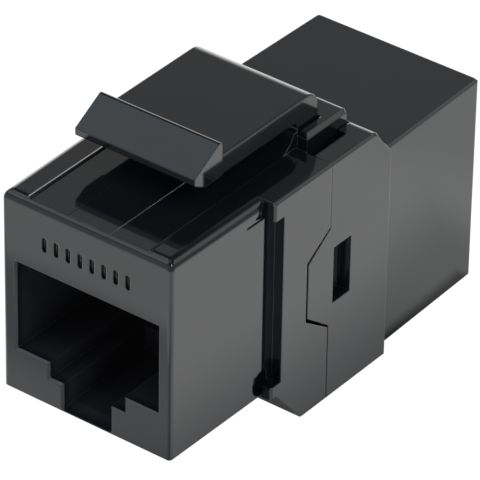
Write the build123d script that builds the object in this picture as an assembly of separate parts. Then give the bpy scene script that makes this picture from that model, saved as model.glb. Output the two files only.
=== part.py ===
from build123d import *
import os

# Frame: x across, y from the front face to the back face, z up from the flat underside.
# The origin is on the underside, midway between the two faces.

# Jack opening, the same at both ends, in millimetres as everything here
JACK_WIDTH = 12.18
JACK_FLOOR = 3.61
JACK_HEIGHT = 7.06
JACK_DEPTH = 12.4
JACK_DROP = 3.4  # the rear jack sits this much lower than the front one
KEY_WIDTH = 6.5
KEY_FLOOR = 2.35
SLOT_WIDTH = 4.1
SLOT_FLOOR = 0.45
SLOT_DEPTH = 9.0
SLOT_LIP = 0.1  # the slot's floor thins to this at the mouth
SLOT_RAMP = 1.2
MOUTH_BEVEL = 0.18

# Contact wires, in a row of eight
CONTACTS = 8
CONTACT_PITCH = 1.02
CONTACT_WIDTH = 0.45
CONTACT_THICK = 0.35
CONTACT_BEND = 0.5
CONTACT_RISE = 2.25  # from the jack's roof up to the wire
CONTACT_FRONT = 2.6
CONTACT_TIP_Y = 10.2
CONTACT_TIP_DROP = 2.35  # from the jack's roof down to the tip
CONTACT_TAIL = 0.6
TAIL_CLEARANCE = 0.15

# Contact carriers and the board between them
CARRIER_WIDTH = 10.3
CARRIER_START = 1.6
CARRIER_HEIGHT = 3.4
CARRIER_WEB = 1.4
CARRIER_SIDE = 1.2
FRONT_BACKING = 4.1  # from the front jack's end to the board
REAR_BACKING = 5.2  # from the board to the rear jack's end
BOARD_THICK = 1.2
BOARD_HOLE_CLEARANCE = 0.02
INNER_CLEARANCE = 0.05

# Front section, which shows through the wall plate
WALL = 1.2
FRONT_WALL = 1.16  # beside the jack
FRONT_ROOF = 2.08  # over the contact bay
FRONT_LENGTH = 9.95
FRONT_DRAFT = 0.014  # how far each side leans out per millimetre of depth
FRONT_ROUND = 0.72
FRONT_CORNER = 0.33
BOTTOM_BEVEL = 0.18
RECESS_DEPTH = 0.1
RECESS_START = 0.35
RIM_WIDTH = 0.18
RIM_HEIGHT = 0.05
PANEL_WIDTH = 3.6
PANEL_DEPTH = 0.015
TICK_WIDTH = 0.42
TICK_LENGTH = 1.15
TICK_DEPTH = 0.3
TICK_RISE = 2.48  # from the jack's roof up to the row of ticks

# Flange, the wide middle where the two shells meet
FLANGE_TOE_START = 0.65
FLANGE_TOE_LENGTH = 2.95
FLANGE_FOOT = 2.75  # the front shell's flat underside, from the toe to the seam
FLANGE_REAR = 7.05  # from the seam to the flange's back
FLANGE_BACK_CUT_Y = 1.91
FLANGE_BACK_CUT_Z = 2.4
FLANGE_BACK_ROUND = 0.9
FLANGE_EDGE = 0.18
SEAM_GAP = 0.12
SEAM_GAP_ABOVE = 0.05  # above the snap tabs
SEAM_DEPTH = 0.5

# Rear section
REAR_WALL_AT_FLANGE = 1.31
REAR_WALL_AT_BACK = 1.01
REAR_ROOF = 2.62
REAR_BEVEL = 0.2
REAR_CORNER = 0.3

# Snap tabs on the flange's sides, and the windows that the lugs catch in
TAB_REACH = 2.4
TAB_TOP_ROOT = 10.95
TAB_TOP_TIP = 9.2
TAB_BOTTOM_TIP = 4.75
TAB_BOTTOM_ROOT = 2.9
TAB_THICK = 1.0
TAB_GAP = 0.2
WINDOW_START = 0.45  # behind the seam
WINDOW_LENGTH = 2.0
WINDOW_BOTTOM = 4.55
WINDOW_HEIGHT = 4.6
TONGUE_THICK = 1.06
TONGUE_LENGTH = 3.2
TONGUE_CLEARANCE = 0.05
LUG_CLEARANCE = 0.25
LUG_REACH = 0.3
LUG_LEAD = 0.24

# Slots at the flange's front corners, behind a thin skin above them
CORNER_SKIN = 0.18
CORNER_UNDERCUT = 0.35  # into the front section's side
SLOT_DEPTH_BACK = 1.6
SLOT_BOTTOM = 0.9
SLOT_TOP_SKIN = 0.25
SIDE_SLOT_LENGTH = 1.05
SIDE_SLOT_BOTTOM = 1.05
SIDE_SLOT_TOP_SKIN = 1.5

# Small marks beside the flange on the front section's sides
NOTCH_DEPTH = 1.1
NOTCH_RADIUS = 1.0
NOTCH_Z = 1.2
SCRIBE_DROP = 1.4  # below the front section's top
SCRIBE_WIDTH = 0.14
SCRIBE_LENGTH = 1.9
SCRIBE_DEPTH = 0.3

# Latch block on the flange's top
BLOCK_MARGIN = 0.85  # how much wider it is than the arm, on each side
BLOCK_START = 0.2  # behind the seam
BLOCK_LENGTH = 4.8
BLOCK_HEIGHT = 1.2
BLOCK_BEVEL = 0.3
BLOCK_BACK_ROUND = 0.6
BLOCK_DEPTH = 1.3
CHANNEL_WIDTH = 0.7
CHANNEL_LENGTH = 3.7
RAMP_LENGTH = 2.3
RAMP_SHELF = 0.35

# Latch arm, with a wedge that catches behind the wall plate
ARM_WIDTH = 10.2
ARM_THICK = 1.52
ARM_INSET = 0.12  # the arm's sides stand this far inside the wedge's
ARM_RISE = 3.45  # from the front section's top to the arm's top
ARM_SIDE_ROUND = 0.12
ARM_OUTER_ROUND = 1.3
ARM_INNER_ROUND = 0.6
WEDGE_EDGE = 0.1
WEDGE_LENGTH = 3.01
WEDGE_GRIP = 1.75  # from the catch to the flange, the room for the wall plate
WEDGE_NOSE_HEIGHT = 0.54
WEDGE_NOSE_ROUND = 1.05
WEDGE_NOSE_DROP = 0.37  # the nose's top edge below the arm's top
WEDGE_RIDGE = 1.37
WEDGE_RIDGE_ROUND = 0.3
LEG_START = 0.17  # behind the block's front
LEG_THICK = 2.33
ROOT_MARGIN = 0.1  # the root's radius over half of the leg's thickness
ROOT_CLEARANCE = 0.03
ROOT_SINK = 0.3

# Places that follow from the dimensions above
JACK_ROOF = JACK_FLOOR + JACK_HEIGHT
BAY_TOP = JACK_ROOF + CARRIER_HEIGHT + INNER_CLEARANCE
LENGTH = 2 * JACK_DEPTH + FRONT_BACKING + BOARD_THICK + REAR_BACKING
FRONT_FACE = -LENGTH / 2
BACK_FACE = LENGTH / 2
BOARD_FRONT = FRONT_FACE + JACK_DEPTH + FRONT_BACKING
BOARD_BACK = BOARD_FRONT + BOARD_THICK
FRONT_SIDE = JACK_WIDTH / 2 + FRONT_WALL
FRONT_SIDE_AT_FLANGE = FRONT_SIDE + FRONT_DRAFT * FRONT_LENGTH
TOP = JACK_DROP + BAY_TOP + FRONT_ROOF
FLANGE_FRONT = FRONT_FACE + FRONT_LENGTH
FLANGE_TOE_END = FLANGE_FRONT + FLANGE_TOE_START + FLANGE_TOE_LENGTH
SEAM = FLANGE_TOE_END + FLANGE_FOOT
FLANGE_BACK = SEAM + FLANGE_REAR
CHAMBER_SIDE = JACK_WIDTH / 2 + INNER_CLEARANCE
CHAMBER_TOP = JACK_DROP + BAY_TOP
TONGUE_SIDE = CHAMBER_SIDE + TONGUE_THICK
TAB_INNER = TONGUE_SIDE + TONGUE_CLEARANCE
FLANGE_SIDE = TAB_INNER + TAB_THICK
REAR_HEIGHT = BAY_TOP + REAR_ROOF
BLOCK_WIDTH = ARM_WIDTH + 2 * BLOCK_MARGIN
BLOCK_FRONT = SEAM + BLOCK_START
BLOCK_BACK = BLOCK_FRONT + BLOCK_LENGTH
BLOCK_TOP = TOP + BLOCK_HEIGHT
BLOCK_BOTTOM = TOP - BLOCK_DEPTH
ARM_TOP = TOP + ARM_RISE
HINGE_Y = BLOCK_FRONT + LEG_START + LEG_THICK / 2
HINGE_Z = BLOCK_TOP - ROOT_SINK
ROOT_RADIUS = LEG_THICK / 2 + ROOT_MARGIN
BEYOND = 1.0  # how far a cutting shape runs past the face that it opens
UPRIGHT = 0.3  # an edge stands upright if its direction has at least this much of z


def block(x, y, z):
    """A box between two x, two y and two z values."""
    size = (x[1] - x[0], y[1] - y[0], z[1] - z[0])
    centre = (sum(x) / 2, sum(y) / 2, sum(z) / 2)
    return Pos(*centre) * Box(*size)


def centred(width, y, z):
    """A box that is centred across the coupler."""
    return block((-width / 2, width / 2), y, z)


def side_plate(outline, x):
    """A plate with an outline in y and z, between two x values."""
    face = Plane.YZ.offset(x[0]) * make_face(Polyline(*outline, close=True))
    return extrude(face, x[1] - x[0])


def both_sides(shape):
    """The shape and its mirror image on the other side."""
    return shape + mirror(shape, Plane.YZ)


def tapered_block(half_widths, y, z):
    """A block whose sides lean evenly from one half width to the other."""
    near, far = half_widths
    plan = Polyline((-near, y[0]), (near, y[0]), (far, y[1]), (-far, y[1]), close=True)
    return extrude(Plane.XY.offset(z[0]) * make_face(plan), z[1] - z[0])


def end_corners(section, face_y):
    """The upright corners of a section's end face, with the short mitres above and below."""
    near = [e for e in section.edges() if abs(e.center().Y - face_y) < FRONT_ROUND]
    return [e for e in near if abs(e.tangent_at(0).Z) > UPRIGHT]


def at_front(shape):
    """Put a shape made in a jack's own frame, mouth at y = 0, at the front."""
    return Pos(0, FRONT_FACE, JACK_DROP) * shape


def at_back(shape):
    """Put a shape made in a jack's own frame at the back, facing the other way."""
    return Pos(0, BACK_FACE, 0) * Rot(0, 0, 180) * shape


def lead_in(width, z):
    """The bevel at a jack's mouth round an opening of a width between two heights."""
    height = z[1] - z[0]
    mouth = Rectangle(width + 2 * MOUTH_BEVEL, height + 2 * MOUTH_BEVEL)
    throat = Pos(0, 0, MOUTH_BEVEL) * Rectangle(width, height)
    return Pos(0, 0, sum(z) / 2) * Rot(-90, 0, 0) * loft([mouth.face(), throat.face()])


# Jack opening with its stepped keyway for the plug's tab
def jack_cavity():
    opening = (-BEYOND, JACK_DEPTH + INNER_CLEARANCE)
    cavity = centred(JACK_WIDTH, opening, (JACK_FLOOR, JACK_ROOF))
    cavity += centred(KEY_WIDTH, opening, (KEY_FLOOR, JACK_FLOOR))
    cavity += centred(SLOT_WIDTH, (-BEYOND, SLOT_DEPTH), (SLOT_FLOOR, KEY_FLOOR))
    ramp = [(-BEYOND, SLOT_LIP), (0, SLOT_LIP), (SLOT_RAMP, SLOT_FLOOR), (-BEYOND, SLOT_FLOOR)]
    cavity += side_plate(ramp, (-SLOT_WIDTH / 2, SLOT_WIDTH / 2))
    cavity += lead_in(JACK_WIDTH, (JACK_FLOOR, JACK_ROOF))
    cavity += lead_in(KEY_WIDTH, (KEY_FLOOR, JACK_ROOF))
    cavity += lead_in(SLOT_WIDTH, (SLOT_LIP + MOUTH_BEVEL, JACK_ROOF))
    bay_width = CARRIER_WIDTH + 2 * INNER_CLEARANCE
    bay = centred(bay_width, (CARRIER_START - INNER_CLEARANCE, opening[1]), (JACK_ROOF, BAY_TOP))
    return cavity + bay


def hook_outline(gap):
    """The snap tab's outline in y and z, grown by a gap on its three free sides."""
    root = SEAM + SEAM_GAP / 2
    tip = SEAM - TAB_REACH - gap
    heights = (TAB_TOP_ROOT + gap, TAB_TOP_TIP + gap, TAB_BOTTOM_TIP - gap, TAB_BOTTOM_ROOT - gap)
    stations = (root, tip, tip, root)
    points = [(y, JACK_DROP + z) for y, z in zip(stations, heights)]
    inner = root + WALL
    return points + [(inner, points[3][1]), (inner, points[0][1])]


def seam_groove():
    """The fine groove that runs round the flange where the shells meet."""
    y = (SEAM - SEAM_GAP / 2, SEAM + SEAM_GAP / 2)
    y_above = (SEAM - SEAM_GAP_ABOVE / 2, SEAM + SEAM_GAP_ABOVE / 2)
    tab_z = (JACK_DROP + TAB_BOTTOM_ROOT, JACK_DROP + TAB_TOP_ROOT)
    outer = centred(2 * FLANGE_SIDE + 2 * BEYOND, y, (-BEYOND, tab_z[0]))
    outer += centred(2 * FLANGE_SIDE + 2 * BEYOND, y_above, (tab_z[1], TOP + BEYOND))
    core = centred(2 * FLANGE_SIDE - 2 * SEAM_DEPTH, y, (SEAM_DEPTH, TOP - SEAM_DEPTH))
    latch_block = centred(BLOCK_WIDTH, y, (TOP - SEAM_DEPTH, TOP + BEYOND))
    return outer - core - latch_block


# Slots at one front corner of the flange: one open to the front, one open to the side
def corner_slots():
    inner = FRONT_SIDE_AT_FLANGE - CORNER_UNDERCUT
    front_z = (JACK_DROP + SLOT_BOTTOM, TOP - SLOT_TOP_SKIN)
    side_z = (JACK_DROP + SIDE_SLOT_BOTTOM, TOP - SIDE_SLOT_TOP_SKIN)
    front_y = (FLANGE_FRONT, FLANGE_FRONT + SLOT_DEPTH_BACK)
    side_y = (FLANGE_FRONT, FLANGE_FRONT + SIDE_SLOT_LENGTH)
    slots = block((inner, FLANGE_SIDE - CORNER_SKIN), front_y, front_z)
    return slots + block((inner, FLANGE_SIDE + BEYOND), side_y, side_z)


# Small marks beside the flange: a half-round notch below, a scribed line and a nick above
def side_marks():
    side = FRONT_SIDE_AT_FLANGE
    scribe_z = TOP - SCRIBE_DROP
    deep = (side - NOTCH_DEPTH, side + BEYOND)
    notch = Pos(side, FLANGE_FRONT, JACK_DROP + NOTCH_Z) * Rot(0, 90, 0)
    marks = notch * Cylinder(NOTCH_RADIUS, 2 * NOTCH_DEPTH)
    marks -= block((side, side + 2 * NOTCH_DEPTH), (FLANGE_FRONT, FLANGE_BACK), (0, TOP))
    marks += block(
        (side - SCRIBE_DEPTH, side + BEYOND),
        (FLANGE_FRONT - SCRIBE_LENGTH, FLANGE_FRONT),
        (scribe_z - SCRIBE_WIDTH / 2, scribe_z + SCRIBE_WIDTH / 2),
    )
    nick = [
        (FLANGE_FRONT - NOTCH_RADIUS, scribe_z + 2 * SCRIBE_WIDTH),
        (FLANGE_FRONT, scribe_z + NOTCH_RADIUS),
        (FLANGE_FRONT, scribe_z),
    ]
    return marks + side_plate(nick, deep)


# Front shell: the section that shows, the flange's front half and the latch block
def front_housing():
    y = (FRONT_FACE, FLANGE_FRONT + FLANGE_EDGE)
    section = tapered_block((FRONT_SIDE, FRONT_SIDE_AT_FLANGE), y, (JACK_DROP, TOP))
    section = chamfer(section.faces().sort_by(Axis.Z)[0].edges().sort_by(Axis.Y)[:-1], BOTTOM_BEVEL)
    section = fillet(end_corners(section, FRONT_FACE), FRONT_CORNER)
    section = fillet(section.faces().sort_by(Axis.Z)[-1].edges().sort_by(Axis.Y)[:-1], FRONT_ROUND)

    flange = [
        (SEAM, TOP),
        (FLANGE_FRONT, TOP),
        (FLANGE_FRONT, JACK_DROP),
        (FLANGE_FRONT + FLANGE_TOE_START, JACK_DROP),
        (FLANGE_TOE_END, 0),
        (SEAM, 0),
    ]
    collar = side_plate(flange, (-FLANGE_SIDE, FLANGE_SIDE))
    ends = collar.faces().filter_by(Axis.X)
    free_edges = [e for face in ends for e in face.edges() if e.center().Y < SEAM - SEAM_GAP]
    collar = chamfer(free_edges, FLANGE_EDGE)
    shell = section + collar

    # Shallow recess in the top between two low rims, with a ramp up to the latch block
    floor = TOP - RECESS_DEPTH
    ramp_start = (BLOCK_FRONT - RAMP_LENGTH, floor)
    recess_y = (FRONT_FACE + RECESS_START, ramp_start[0])
    edge = ARM_WIDTH / 2
    outer = edge + RIM_WIDTH
    rim = [(edge, TOP + RIM_HEIGHT), (outer, TOP), (outer, floor), (edge, floor)]
    rim_face = Plane.XZ.offset(-recess_y[1]) * make_face(Polyline(*rim, close=True))
    shell += both_sides(extrude(rim_face, recess_y[1] - recess_y[0]))
    shell -= centred(ARM_WIDTH, (recess_y[0], BLOCK_FRONT), (floor, TOP + BEYOND))
    shell -= centred(PANEL_WIDTH, recess_y, (floor - PANEL_DEPTH, TOP))
    upper = centred(BLOCK_WIDTH, (BLOCK_FRONT, BLOCK_BACK), (BLOCK_BOTTOM, BLOCK_TOP))
    upper = fillet(upper.faces().sort_by(Axis.Z)[-1].edges().sort_by(Axis.Y)[-1], BLOCK_BACK_ROUND)
    upper = chamfer(upper.faces().sort_by(Axis.Z)[-1].edges().sort_by(Axis.Y)[:-1], BLOCK_BEVEL)
    ramp_top = (BLOCK_FRONT - RAMP_SHELF, BLOCK_TOP)
    root = floor - RECESS_DEPTH
    behind = BLOCK_FRONT + BLOCK_BEVEL
    base = Polyline(ramp_top, (behind, BLOCK_TOP), (behind, root), (ramp_start[0], root), ramp_start)
    ramp = make_face(base + TangentArc(ramp_start, ramp_top, tangent=(1, 0)))
    shell += centred(BLOCK_WIDTH, (SEAM - WALL, BLOCK_BACK - BLOCK_BACK_ROUND), (BLOCK_BOTTOM, floor))
    shell += upper + extrude(Plane.YZ.offset(-ARM_WIDTH / 2) * ramp, ARM_WIDTH)

    # Inner spaces: the jack, the chamber behind it and the seat for the latch's root
    shell -= at_front(jack_cavity())
    chamber_start = FRONT_FACE + JACK_DEPTH
    chamber = centred(2 * CHAMBER_SIDE, (chamber_start, SEAM), (JACK_DROP + WALL, CHAMBER_TOP))
    chamber += centred(2 * CHAMBER_SIDE, (FLANGE_TOE_END + WALL / 2, SEAM), (WALL, CHAMBER_TOP))
    shell -= chamber
    seat = Pos(0, HINGE_Y, HINGE_Z) * Rot(0, 90, 0)
    shell -= seat * Cylinder(ROOT_RADIUS + ROOT_CLEARANCE, ARM_WIDTH + 2 * INNER_CLEARANCE)

    # Sides: the snap tabs' pockets and the spring tongues that carry the lugs
    shell -= both_sides(side_plate(hook_outline(TAB_GAP), (TONGUE_SIDE, FLANGE_SIDE + BEYOND)))
    window_y = SEAM + WINDOW_START
    z = (JACK_DROP + WINDOW_BOTTOM, JACK_DROP + WINDOW_BOTTOM + WINDOW_HEIGHT)
    spring = block((CHAMBER_SIDE, TONGUE_SIDE), (SEAM - WALL, SEAM + TONGUE_LENGTH), z)
    lug = block(
        (TONGUE_SIDE, TONGUE_SIDE + LUG_REACH),
        (window_y + LUG_CLEARANCE, window_y + WINDOW_LENGTH - LUG_CLEARANCE),
        (z[0] + LUG_CLEARANCE, z[1] - LUG_CLEARANCE),
    )
    lead = lug.edges().filter_by(Axis.Z).group_by(Axis.Y)[-1].sort_by(Axis.X)[-1]
    shell += both_sides(spring + chamfer(lead, LUG_LEAD))
    shell -= both_sides(corner_slots() + side_marks())

    # A plain row of ticks over the opening, one for each contact
    for i in range(CONTACTS):
        x = (i - (CONTACTS - 1) / 2) * CONTACT_PITCH
        tick = Pos(x, FRONT_FACE, JACK_DROP + JACK_ROOF + TICK_RISE) * Rot(90, 0, 0)
        mark = SlotOverall(TICK_LENGTH, TICK_WIDTH, rotation=90)
        shell -= tick * extrude(mark, TICK_DEPTH, both=True)
    return shell - seam_groove()


# Rear shell: the flange's back half, the snap tabs and the rear jack
def rear_housing():
    half_widths = (JACK_WIDTH / 2 + REAR_WALL_AT_FLANGE, JACK_WIDTH / 2 + REAR_WALL_AT_BACK)
    section = tapered_block(half_widths, (FLANGE_BACK - WALL, BACK_FACE), (0, REAR_HEIGHT))
    section = chamfer(section.faces().sort_by(Axis.Z)[-1].edges().sort_by(Axis.Y)[1:], REAR_BEVEL)
    section = chamfer(section.faces().sort_by(Axis.Z)[0].edges().sort_by(Axis.Y)[1:], BOTTOM_BEVEL)
    section = fillet(end_corners(section, BACK_FACE), REAR_CORNER)

    flange = [
        (SEAM, TOP),
        (FLANGE_BACK - FLANGE_BACK_CUT_Y, TOP),
        (FLANGE_BACK, TOP - FLANGE_BACK_CUT_Z),
        (FLANGE_BACK, 0),
        (SEAM, 0),
    ]
    collar = side_plate(flange, (-FLANGE_SIDE, FLANGE_SIDE))
    crest = collar.edges().filter_by(Axis.X).group_by(Axis.Z)[-1].sort_by(Axis.Y)[-1]
    collar = fillet(crest, FLANGE_BACK_ROUND)
    ends = collar.faces().filter_by(Axis.X)
    free_edges = [e for face in ends for e in face.edges() if e.center().Y > SEAM + SEAM_GAP]
    back_edges = collar.edges().filter_by(Axis.X).group_by(Axis.Y)[-1]
    shell = section + chamfer(free_edges + back_edges, FLANGE_EDGE)
    shell += both_sides(side_plate(hook_outline(0), (TAB_INNER, FLANGE_SIDE)))

    # Inner spaces: the rear jack and the chamber for the board and the wires' tails
    shell -= at_back(jack_cavity())
    chamber_end = BACK_FACE - JACK_DEPTH
    tails_end = BOARD_BACK + CONTACT_TAIL + TAIL_CLEARANCE
    chamber = centred(2 * CHAMBER_SIDE, (SEAM - BEYOND, chamber_end), (WALL, BAY_TOP))
    chamber += centred(2 * CHAMBER_SIDE, (SEAM - BEYOND, tails_end), (WALL, CHAMBER_TOP))
    shell -= chamber

    # Room in the top for the latch block, with a channel along each side of it
    gap = TONGUE_CLEARANCE
    room_z = (BLOCK_BOTTOM, TOP + BEYOND)
    channels = BLOCK_WIDTH + 2 * CHANNEL_WIDTH
    shell -= centred(channels, (SEAM - BEYOND, SEAM + CHANNEL_LENGTH), room_z)
    shell -= centred(BLOCK_WIDTH + 2 * gap, (SEAM - BEYOND, BLOCK_BACK + gap), room_z)

    # Windows for the lugs, and room behind the side walls for the spring tongues
    z = (JACK_DROP + WINDOW_BOTTOM, JACK_DROP + WINDOW_BOTTOM + WINDOW_HEIGHT)
    window_y = (SEAM + WINDOW_START, SEAM + WINDOW_START + WINDOW_LENGTH)
    window = block((TAB_INNER - gap, FLANGE_SIDE + BEYOND), window_y, z)
    room = block(
        (CHAMBER_SIDE - gap, TAB_INNER),
        (SEAM - BEYOND, SEAM + TONGUE_LENGTH + gap),
        (z[0] - gap, z[1] + gap),
    )
    shell -= both_sides(window + room)
    return shell - seam_groove()


# Latch: a sprung arm with a wedge that catches behind the wall plate
def latch_arm():
    catch = FLANGE_FRONT - WEDGE_GRIP
    nose = catch - WEDGE_LENGTH
    nose_top = ARM_TOP - WEDGE_NOSE_DROP
    underside = ARM_TOP - ARM_THICK
    wedge_outline = [
        ((nose, nose_top - WEDGE_NOSE_HEIGHT), WEDGE_EDGE),
        ((nose, nose_top), WEDGE_EDGE),
        ((catch, ARM_TOP + WEDGE_RIDGE), WEDGE_RIDGE_ROUND),
        ((catch, underside), WEDGE_EDGE),
        ((nose + WEDGE_NOSE_ROUND, underside), WEDGE_NOSE_ROUND),
    ]
    points = [point for point, _ in wedge_outline]
    radii = [radius for _, radius in wedge_outline]
    wedge_face = make_face(FilletPolyline(*points, radius=radii, close=True))
    wedge = extrude(Plane.YZ.offset(-ARM_WIDTH / 2) * wedge_face, ARM_WIDTH)

    leg = (HINGE_Y - LEG_THICK / 2, HINGE_Y + LEG_THICK / 2)
    buried = catch - ARM_THICK
    strip_outline = [(buried, underside), (buried, ARM_TOP), (leg[1], ARM_TOP)]
    strip_outline += [(leg[1], HINGE_Z), (leg[0], HINGE_Z), (leg[0], underside)]
    strip_side = ARM_WIDTH / 2 - ARM_INSET
    strip = side_plate(strip_outline, (-strip_side, strip_side))
    bends = strip.edges().filter_by(Axis.X)
    strip = fillet(bends.group_by(Axis.Y)[-1].sort_by(Axis.Z)[-1], ARM_OUTER_ROUND)
    inside = [e for e in strip.edges().filter_by(Axis.X) if e.center().Y < HINGE_Y]
    inside = [e for e in inside if e.center().Y > buried and e.center().Z > HINGE_Z + ARM_THICK / 2]
    strip = fillet(inside, ARM_INNER_ROUND)
    side_edges = [e for face in strip.faces().filter_by(Axis.X) for e in face.edges()]
    crest = [e for e in side_edges if e.center().Z > ARM_TOP - ARM_THICK / 2]
    back = [e for e in side_edges if e.center().Y > HINGE_Y + LEG_THICK / 4]
    strip = fillet([e for e in crest if e.center().Y > buried] + back, ARM_SIDE_ROUND)
    root = Pos(0, HINGE_Y, HINGE_Z) * Rot(0, 90, 0) * Cylinder(ROOT_RADIUS, 2 * strip_side)
    return wedge + strip + root


# Contact carrier, in a jack's own frame: a comb over the plug and a wall behind it
def contact_carrier(board_distance, tail_z):
    comb_y = (CARRIER_START, board_distance)
    carrier = centred(CARRIER_WIDTH, comb_y, (JACK_ROOF, JACK_ROOF + CARRIER_HEIGHT))
    wall_y = (JACK_DEPTH + INNER_CLEARANCE, board_distance)
    wall_bottom = WALL + INNER_CLEARANCE
    carrier += centred(JACK_WIDTH, wall_y, (wall_bottom, JACK_ROOF))
    hollow_y = (wall_y[0] + CARRIER_WEB, board_distance + BEYOND)
    hollow_z = (wall_bottom + CARRIER_SIDE, JACK_ROOF - CARRIER_SIDE)
    carrier -= centred(JACK_WIDTH - 2 * CARRIER_SIDE, hollow_y, hollow_z)
    # Relief for the tails of the other jack's wires, which come through the board
    relief_y = (board_distance - CONTACT_TAIL - TAIL_CLEARANCE, board_distance + BEYOND)
    relief_half = CONTACT_THICK / 2 + TAIL_CLEARANCE
    relief_z = (tail_z - relief_half, tail_z + relief_half)
    carrier -= centred(CONTACTS * CONTACT_PITCH, relief_y, relief_z)
    groove_width = CONTACT_WIDTH + 2 * INNER_CLEARANCE
    groove_top = JACK_ROOF + CONTACT_RISE + CONTACT_THICK / 2
    for i in range(CONTACTS):
        x = (i - (CONTACTS - 1) / 2) * CONTACT_PITCH
        groove_x = (x - groove_width / 2, x + groove_width / 2)
        carrier -= block(groove_x, (CONTACT_FRONT, wall_y[0]), (JACK_ROOF - BEYOND, groove_top))
        lane_z = (groove_top - CONTACT_THICK, groove_top)
        carrier -= block(groove_x, (wall_y[0], board_distance + BEYOND), lane_z)
    return carrier


# One contact wire, in a jack's own frame: through the board, forward and folded back
def contact(index, board_distance):
    wire_z = JACK_ROOF + CONTACT_RISE
    tail = board_distance + BOARD_THICK + CONTACT_TAIL
    path = FilletPolyline(
        (tail, wire_z),
        (CONTACT_FRONT, wire_z),
        (CONTACT_TIP_Y, JACK_ROOF - CONTACT_TIP_DROP),
        radius=CONTACT_BEND,
    )
    x = (index - (CONTACTS - 1) / 2) * CONTACT_PITCH
    section = Plane.YZ.offset(x - CONTACT_WIDTH / 2) * trace(path, CONTACT_THICK)
    return extrude(section, CONTACT_WIDTH)


# Circuit board that joins the two rows of contacts
def circuit_board():
    z = (WALL + INNER_CLEARANCE, CHAMBER_TOP - INNER_CLEARANCE)
    board = centred(JACK_WIDTH, (BOARD_FRONT, BOARD_BACK), z)
    hole_radius = (CONTACT_WIDTH**2 + CONTACT_THICK**2) ** 0.5 / 2 + BOARD_HOLE_CLEARANCE
    rear_row = JACK_ROOF + CONTACT_RISE
    for i in range(CONTACTS):
        x = (i - (CONTACTS - 1) / 2) * CONTACT_PITCH
        for row in (rear_row, rear_row + JACK_DROP):
            hole = Pos(x, (BOARD_FRONT + BOARD_BACK) / 2, row) * Rot(90, 0, 0)
            board -= hole * Cylinder(hole_radius, 2 * BOARD_THICK)
    return board


front_distance = BOARD_FRONT - FRONT_FACE
rear_distance = BACK_FACE - BOARD_BACK
wire_row = JACK_ROOF + CONTACT_RISE

parts = {
    "front_housing": front_housing(),
    "rear_housing": rear_housing(),
    "latch_arm": latch_arm(),
    "front_contact_carrier": at_front(contact_carrier(front_distance, wire_row - JACK_DROP)),
    "rear_contact_carrier": at_back(contact_carrier(rear_distance, wire_row + JACK_DROP)),
    "circuit_board": circuit_board(),
}
for i in range(CONTACTS):
    parts[f"front_contact_{i + 1}"] = at_front(contact(i, front_distance))
    parts[f"rear_contact_{i + 1}"] = at_back(contact(i, rear_distance))

os.makedirs("parts", exist_ok=True)
for name, shape in parts.items():
    export_step(shape, f"parts/{name}.step")
    box = shape.bounding_box()
    print(f"{name}: {len(shape.solids())} solid, {box.min} to {box.max}")
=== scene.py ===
import math

import bpy
from mathutils import Matrix, Vector

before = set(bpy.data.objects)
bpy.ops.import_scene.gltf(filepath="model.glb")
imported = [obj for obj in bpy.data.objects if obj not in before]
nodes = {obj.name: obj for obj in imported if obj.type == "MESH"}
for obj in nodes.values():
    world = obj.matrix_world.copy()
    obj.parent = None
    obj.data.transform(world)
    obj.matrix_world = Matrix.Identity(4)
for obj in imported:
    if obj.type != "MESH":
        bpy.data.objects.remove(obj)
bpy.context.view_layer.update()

MM = 0.001


# Circuit board
# A small green glass-fibre board between the two sets of contacts. It crosses each wire
# over to its partner at the lower rear jack. It is hidden once the shells are closed.
class Socket:
    """One output of a shader node, with arithmetic that adds the nodes for it."""

    def __init__(self, tree, link):
        self.tree = tree
        self.link = link

    def maths(self, operation, *others):
        """A Math node of this value and others, which are sockets or numbers."""
        inputs = {i + 1: other for i, other in enumerate(others)}
        return node(self.tree, "Math", {"operation": operation}, {0: self, **inputs})

    def __add__(self, other):
        return self.maths("ADD", other)

    def __sub__(self, other):
        return self.maths("SUBTRACT", other)

    def __rsub__(self, other):
        return (self * -1.0).maths("ADD", other)

    def __mul__(self, other):
        return self.maths("MULTIPLY", other)

    __radd__ = __add__
    __rmul__ = __mul__

    def step(self, low, high):
        """0 below low, 1 above high, smooth between them."""
        settings = {"interpolation_type": "SMOOTHSTEP"}
        values = {"Value": self, "From Min": low, "From Max": high}
        return node(self.tree, "MapRange", settings, values)


def node(tree, kind, settings=None, values=None, output=0):
    """Add a shader node: its settings first, then values or links for its sockets."""
    made = tree.nodes.new("ShaderNode" + kind)
    for name, setting in (settings or {}).items():
        setattr(made, name, setting)
    for name, value in (values or {}).items():
        if isinstance(value, Socket):
            tree.links.new(value.link, made.inputs[name])
        else:
            made.inputs[name].default_value = value
    return Socket(tree, made.outputs[output])


MIX_UNDER, MIX_OVER, MIX_COLOUR = 6, 7, 2  # where a Mix node keeps its colour sockets


def blend_colours(tree, mask, under, over):
    """One colour over another where the mask is 1."""
    colours = {0: mask, MIX_UNDER: under, MIX_OVER: over}
    return node(tree, "Mix", {"data_type": "RGBA"}, colours, output=MIX_COLOUR)


def finish_material(name, colour, roughness, normal, constants):
    """A material with one Principled shader: linked looks, and constants on its own sockets."""
    material = bpy.data.materials[name]
    tree = material.node_tree
    shader = tree.nodes["Principled BSDF"]
    for place, value in (("Base Color", colour), ("Roughness", roughness), ("Normal", normal)):
        tree.links.new(value.link, shader.inputs[place])
    for place, value in constants.items():
        shader.inputs[place].default_value = value
    return material


def start_material(name):
    """An empty material, and its tree and the place on the piece in millimetres."""
    material = bpy.data.materials.new(name)
    material.use_nodes = True
    tree = material.node_tree
    place = node(tree, "TexCoord", output=3)
    scaled = node(tree, "VectorMath", {"operation": "SCALE"}, {0: place, "Scale": 1 / MM})
    return tree, scaled


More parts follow.
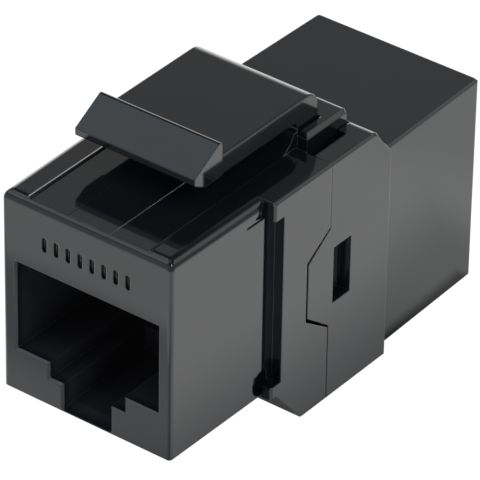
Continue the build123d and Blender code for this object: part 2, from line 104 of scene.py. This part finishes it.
def noise(tree, place, scale, detail=3.0, roughness=0.5):
    """Noise over the piece, with a scale in waves per millimetre."""
    values = {"Vector": place, "Scale": scale, "Detail": detail, "Roughness": roughness}
    return node(tree, "TexNoise", {}, values)


def stretched(tree, place, factors):
    """The place on the piece, stretched along its axes, for grain that runs one way."""
    return node(tree, "VectorMath", {"operation": "MULTIPLY"}, {0: place, 1: factors})


def paint(name, material):
    """Give a piece its material."""
    slots = nodes[name].data.materials
    slots.clear()
    slots.append(material)


def board_material():
    tree, place = start_material("solder_mask")
    weave = noise(tree, stretched(tree, place, (6.0, 1.0, 1.2)), 1.5)
    tone = blend_colours(tree, weave, (0.008, 0.060, 0.022, 1), (0.014, 0.105, 0.040, 1))
    threads = node(tree, "Bump", {}, {"Height": weave, "Distance": 0.004 * MM, "Strength": 0.6})
    gloss = weave * 0.15 + 0.28
    return finish_material("solder_mask", tone, gloss, threads, {"IOR": 1.52})


paint("circuit_board", board_material())


# Contact wires
# Eight spring wires for each jack, stamped from phosphor bronze and plated with gold. Each
# is soldered in the board, runs forward in the comb and folds back down into the socket.
WIRES = [f"{end}_contact_{i + 1}" for end in ("front", "rear") for i in range(8)]


def plated_material():
    tree, place = start_material("gold_plate")
    drawn = noise(tree, stretched(tree, place, (14.0, 0.6, 14.0)), 1.0, detail=4.0)
    cloud = noise(tree, place, 0.8)
    tone = blend_colours(tree, cloud, (0.83, 0.55, 0.20, 1), (0.96, 0.70, 0.31, 1))
    gloss = drawn * 0.18 + 0.14
    lines = node(tree, "Bump", {}, {"Height": drawn, "Distance": 0.002 * MM, "Strength": 0.5})
    return finish_material("gold_plate", tone, gloss, lines, {"Metallic": 1.0})


gold_plate = plated_material()
for wire in WIRES:
    paint(wire, gold_plate)


# Contact carriers
# Moulded combs that keep the wires apart over the plug and close the socket behind it.
# They come from a plain mould, so they are duller than the shells.
EDGE_ROUND = 0.12  # radius that the mould leaves on an edge, in millimetres
# The grey of the painted highlight on edges
EDGE_HIGHLIGHT_GREY = (0.16, 0.16, 0.165, 1)
# The lighter grey painted inside the jacks, as painted light
PAINTED_INSIDE_GREY = (0.026, 0.028, 0.036, 1)
INSIDE_HALF_WIDTH = (6.1, 6.3)  # the lighter painted inside ends between these two, in millimetres
INSIDE_HALF_LENGTH = (16.6, 17.5)
INSIDE_BOTTOM = (0.3, 0.4)
INSIDE_TOP = (14.0, 14.3)


def axis(tree, place, number):
    """The place along x, y or z, which are 0, 1 and 2."""
    return node(tree, "SeparateXYZ", {}, {0: place}, output=number)


def moulded_plastic(name, tone, gloss, grain, edge_highlight):
    """Black moulded plastic: cloudy tone, fine mould grain, faint scuffs and painted highlights on
    edges.

    tone is the darkest and lightest base colour, gloss the least and most roughness, grain
    the height of the mould's texture in millimetres, and the last how strong the painted edge
    highlight is.
    Inside the jacks the black is painted a lighter grey, painted light that lifts their shade."""
    tree, place = start_material(name)
    cloud = noise(tree, place, 0.22, detail=4.0)
    fine = noise(tree, place, 7.0, detail=2.0)
    sink = noise(tree, place, 0.16, detail=1.0)
    scuffs = noise(tree, stretched(tree, place, (0.5, 3.5, 1.0)), 1.6, detail=6.0, roughness=0.7)
    scuff_mask = scuffs.step(0.60, 0.74)

    rounded = node(tree, "Bevel", {"samples": 6}, {"Radius": EDGE_ROUND * MM})
    flat = node(tree, "NewGeometry", output=1)
    turned = node(tree, "VectorMath", {"operation": "DOT_PRODUCT"}, {0: rounded, 1: flat}, output=1)
    edges = (1.0 - turned).step(0.01, 0.22)

    dark, light = ((level * 0.85, level, level * 1.25, 1) for level in tone)
    base = blend_colours(tree, cloud, dark, light)
    across = axis(tree, place, 0).maths("ABSOLUTE")
    along = axis(tree, place, 1).maths("ABSOLUTE")
    rise = axis(tree, place, 2)
    inside = (1.0 - across.step(*INSIDE_HALF_WIDTH)) * (1.0 - along.step(*INSIDE_HALF_LENGTH))
    inside = inside * rise.step(*INSIDE_BOTTOM) * (1.0 - rise.step(*INSIDE_TOP))
    # Painted light: the inside of the jacks is painted a lighter grey
    base = blend_colours(tree, inside, base, PAINTED_INSIDE_GREY)
    # Painted highlight: edges are lightened towards a grey
    base = blend_colours(tree, edges * edge_highlight, base, EDGE_HIGHLIGHT_GREY)

    low, high = gloss
    roughness = cloud * (high - low) + low + scuff_mask * 0.04 + edges * 0.08
    relief = fine * grain + sink * (grain * 1.5) + scuff_mask * (grain * -0.6)
    raised = {"Height": relief, "Distance": MM, "Strength": 1.0, "Normal": rounded}
    surface = node(tree, "Bump", {}, raised)
    return finish_material(name, base, roughness, surface, {"IOR": 1.54})


carrier_black = moulded_plastic(
    "carrier_black", tone=(0.004, 0.007), gloss=(0.38, 0.50), grain=0.003, edge_highlight=0.1
)
for end in ("front", "rear"):
    paint(f"{end}_contact_carrier", carrier_black)


# Shells
# Front and rear shells, injection moulded in black plastic from a polished mould. The snap
# tabs on the rear shell close over the front one, and the lugs click into the windows.
shell_black = moulded_plastic(
    "shell_black", tone=(0.009, 0.012), gloss=(0.03, 0.08), grain=0.0003, edge_highlight=0.28
)
paint("front_housing", shell_black)
paint("rear_housing", shell_black)


# Latch
# The sprung arm on top, moulded with the front shell. Its wedge catches behind the wall
# plate, and its edges carry a painted highlight.
latch_black = moulded_plastic(
    "latch_black", tone=(0.007, 0.011), gloss=(0.05, 0.10), grain=0.0004, edge_highlight=0.28
)
paint("latch_arm", latch_black)


# Table
# A plain white sweep, wide enough to fill the picture. The camera sees it evenly lit, as the
# photograph's ground is cut out to white.
TABLE_SIZE = 6.0


def level_square(name, size, z, material):
    """A level square under the coupler, which isn't part of it."""
    mesh = bpy.data.meshes.new(name)
    half = size / 2
    corners = [(-half, -half, z), (half, -half, z), (half, half, z), (-half, half, z)]
    mesh.from_pydata(corners, [], [(0, 1, 2, 3)])
    mesh.materials.append(material)
    made = bpy.data.objects.new(name, mesh)
    bpy.context.scene.collection.objects.link(made)
    return made


def glowing_material(name):
    """A matt surface that glows, with the tree and the shader to colour it."""
    material = bpy.data.materials.new(name)
    material.use_nodes = True
    shader = material.node_tree.nodes["Principled BSDF"]
    shader.inputs["Base Color"].default_value = (0.02, 0.02, 0.02, 1)
    shader.inputs["Roughness"].default_value = 0.9
    shader.inputs["Emission Color"].default_value = (1, 1, 1, 1)
    shader.inputs["Emission Strength"].default_value = 1.0
    return material, material.node_tree, shader


level_square("white_table", TABLE_SIZE, 0, glowing_material("white_table")[0])


# Lit ground
# What the glossy plastic mirrors in place of the table: its glow is painted darkest under
# the coupler, a painted shadow, and brightest a little way off. The camera doesn't see it.
FOOT = (8.25, 17.65)  # half the coupler's width and length
GROUND_RISE = 0.01  # from the table, so that only one of the two is met


def ground_material():
    material, tree, shader = glowing_material("lit_ground")
    place = node(tree, "TexCoord", output=3)
    x = axis(tree, place, 0) * (1 / MM)
    y = axis(tree, place, 1) * (1 / MM)
    ahead = y * -1.0 - FOOT[1]
    beside = x.maths("ABSOLUTE") - FOOT[0]
    away = beside.maths("MAXIMUM", y.maths("ABSOLUTE") - FOOT[1])

    # Close by, a painted shadow: it brightens with the distance from the coupler's foot
    near = away.step(-0.8, 0.4) * 0.50 + away.step(-1.0, 10.0) * 0.75
    near = near + away.step(8.0, 30.0) * 0.15 + 0.08

    # In front, which the jack's face mirrors, it is duller, but not close by on the left
    left = 1.0 - x.step(-14.0, 8.0)
    shade = left * (ahead.step(2.0, 9.0) * 0.85 - 0.6) + x.step(6.0, 9.0) * 0.25 + 0.25
    near = near * (1.0 - ahead.step(-1.0, 2.0) * (shade - ahead.step(15.0, 17.5) * 0.4))

    # The front right corner mirrors a lighter patch, and the rear section a duller end
    near = near + (x - ahead * 1.3 - FOOT[0]).step(-1.0, 2.0) * ahead.step(-1.0, 1.0) * 0.6
    near = near * (1.0 - y.step(22.0, 34.0) * 0.2)
    near = near + y.step(6.0, 16.0) * x.step(5.0, 7.0) * (1.0 - away.step(-2.0, 5.0)) * 0.25

    # Far off, it is brightest behind on the left, which lights the rounded rear edges
    right = x.step(0.0, 30.0)
    back = y.step(0.0, 40.0)
    distant = (1.0 - right) * (back * 1.1 + 0.55) + right * 0.35
    far = away.step(26.0, 70.0)
    glow = near * (1.0 - far) + distant * far
    colour = node(tree, "CombineXYZ", {}, {0: glow, 1: glow, 2: glow})
    tree.links.new(colour.link, shader.inputs["Emission Color"])
    return material


lit_ground = level_square("lit_ground", TABLE_SIZE, GROUND_RISE * MM, ground_material())
lit_ground.visible_camera = False


# Lights
# One large softbox overhead in front on the left, a smaller one behind on the right for the
# bevels, a weak key for the edges, and a studio that is brightest near the floor.
LIGHT_DISTANCE = 0.6
NEUTRAL = (1.0, 1.0, 1.0)


def softbox(name, towards, size, radiance, tint):
    """A square area light in the direction towards, aimed at the coupler. radiance is how
    bright its face is, where the white table is 1."""
    direction = Vector(towards).normalized()
    light = bpy.data.lights.new(name, "AREA")
    light.size = size
    light.energy = radiance * math.pi * size**2
    light.color = tint
    lamp = bpy.data.objects.new(name, light)
    lamp.location = direction * LIGHT_DISTANCE
    lamp.rotation_euler = direction.to_track_quat("Z", "Y").to_euler()
    bpy.context.scene.collection.objects.link(lamp)


softbox("overhead", (-0.5, -0.37, 0.78), size=0.42, radiance=1.05, tint=(0.92, 1.0, 1.07))
softbox("behind_right", (0.557, 0.663, 0.499), size=0.28, radiance=0.75, tint=NEUTRAL)
softbox("key", (0.75, -0.25, 0.8), size=0.2, radiance=5.0, tint=NEUTRAL)


def studio_world():
    """Light from all round: brightest low down behind on the left, and dark high up but for
    the very top."""
    world = bpy.data.worlds.new("studio")
    world.use_nodes = True
    tree = world.node_tree
    direction = node(tree, "TexCoord")
    upwards = axis(tree, direction, 2)
    low = 1.0 - upwards.step(0.10, 0.50)
    left = 1.0 - axis(tree, direction, 0).step(-0.2, 0.3)
    behind = axis(tree, direction, 1).step(-0.1, 0.5)
    high = upwards.step(0.60, 0.78)
    zenith = upwards.step(0.93, 0.99)
    glow = low * left * (behind * 1.9 + 0.3) + high * -0.32 + zenith * 0.5 + 0.40
    background = tree.nodes["Background"]
    background.inputs["Color"].default_value = (1, 1, 1, 1)
    tree.links.new(glow.link, background.inputs["Strength"])
    return world


bpy.context.scene.world = studio_world()


# Camera
# A long lens, looking down on the front right corner as the photograph does. Its angles,
# distance and focal length were solved from the straight edges in the photograph.
AZIMUTH = math.radians(36.997)
ELEVATION = math.radians(33.867)
ROLL = math.radians(1.004)
FOCAL_PIXELS = 5064.75
FRAME_PIXELS = 480
SENSOR = 36.0
DISTANCE = 350.61 * MM
AIM = Vector((0, -1.65, 11.4)) * MM
AIM_OFFSET = (-0.595 * MM, 1.073 * MM)


def add_camera():
    away = Vector((
        math.sin(AZIMUTH) * math.cos(ELEVATION),
        -math.cos(AZIMUTH) * math.cos(ELEVATION),
        math.sin(ELEVATION),
    ))
    level = Vector((math.cos(AZIMUTH), math.sin(AZIMUTH), 0))
    upright = away.cross(level)
    right = level * math.cos(ROLL) + upright * math.sin(ROLL)
    up = upright * math.cos(ROLL) - level * math.sin(ROLL)
    data = bpy.data.cameras.new("camera")
    data.sensor_width = SENSOR
    data.lens = FOCAL_PIXELS / FRAME_PIXELS * SENSOR
    data.clip_start = DISTANCE / 10
    camera = bpy.data.objects.new("camera", data)
    turn = Matrix((right, up, away)).transposed()
    place = AIM + away * DISTANCE - right * AIM_OFFSET[0] - up * AIM_OFFSET[1]
    camera.matrix_world = Matrix.Translation(place) @ turn.to_4x4()
    bpy.context.scene.collection.objects.link(camera)
    bpy.context.scene.camera = camera


add_camera()
bpy.context.scene.view_settings.view_transform = "Standard"
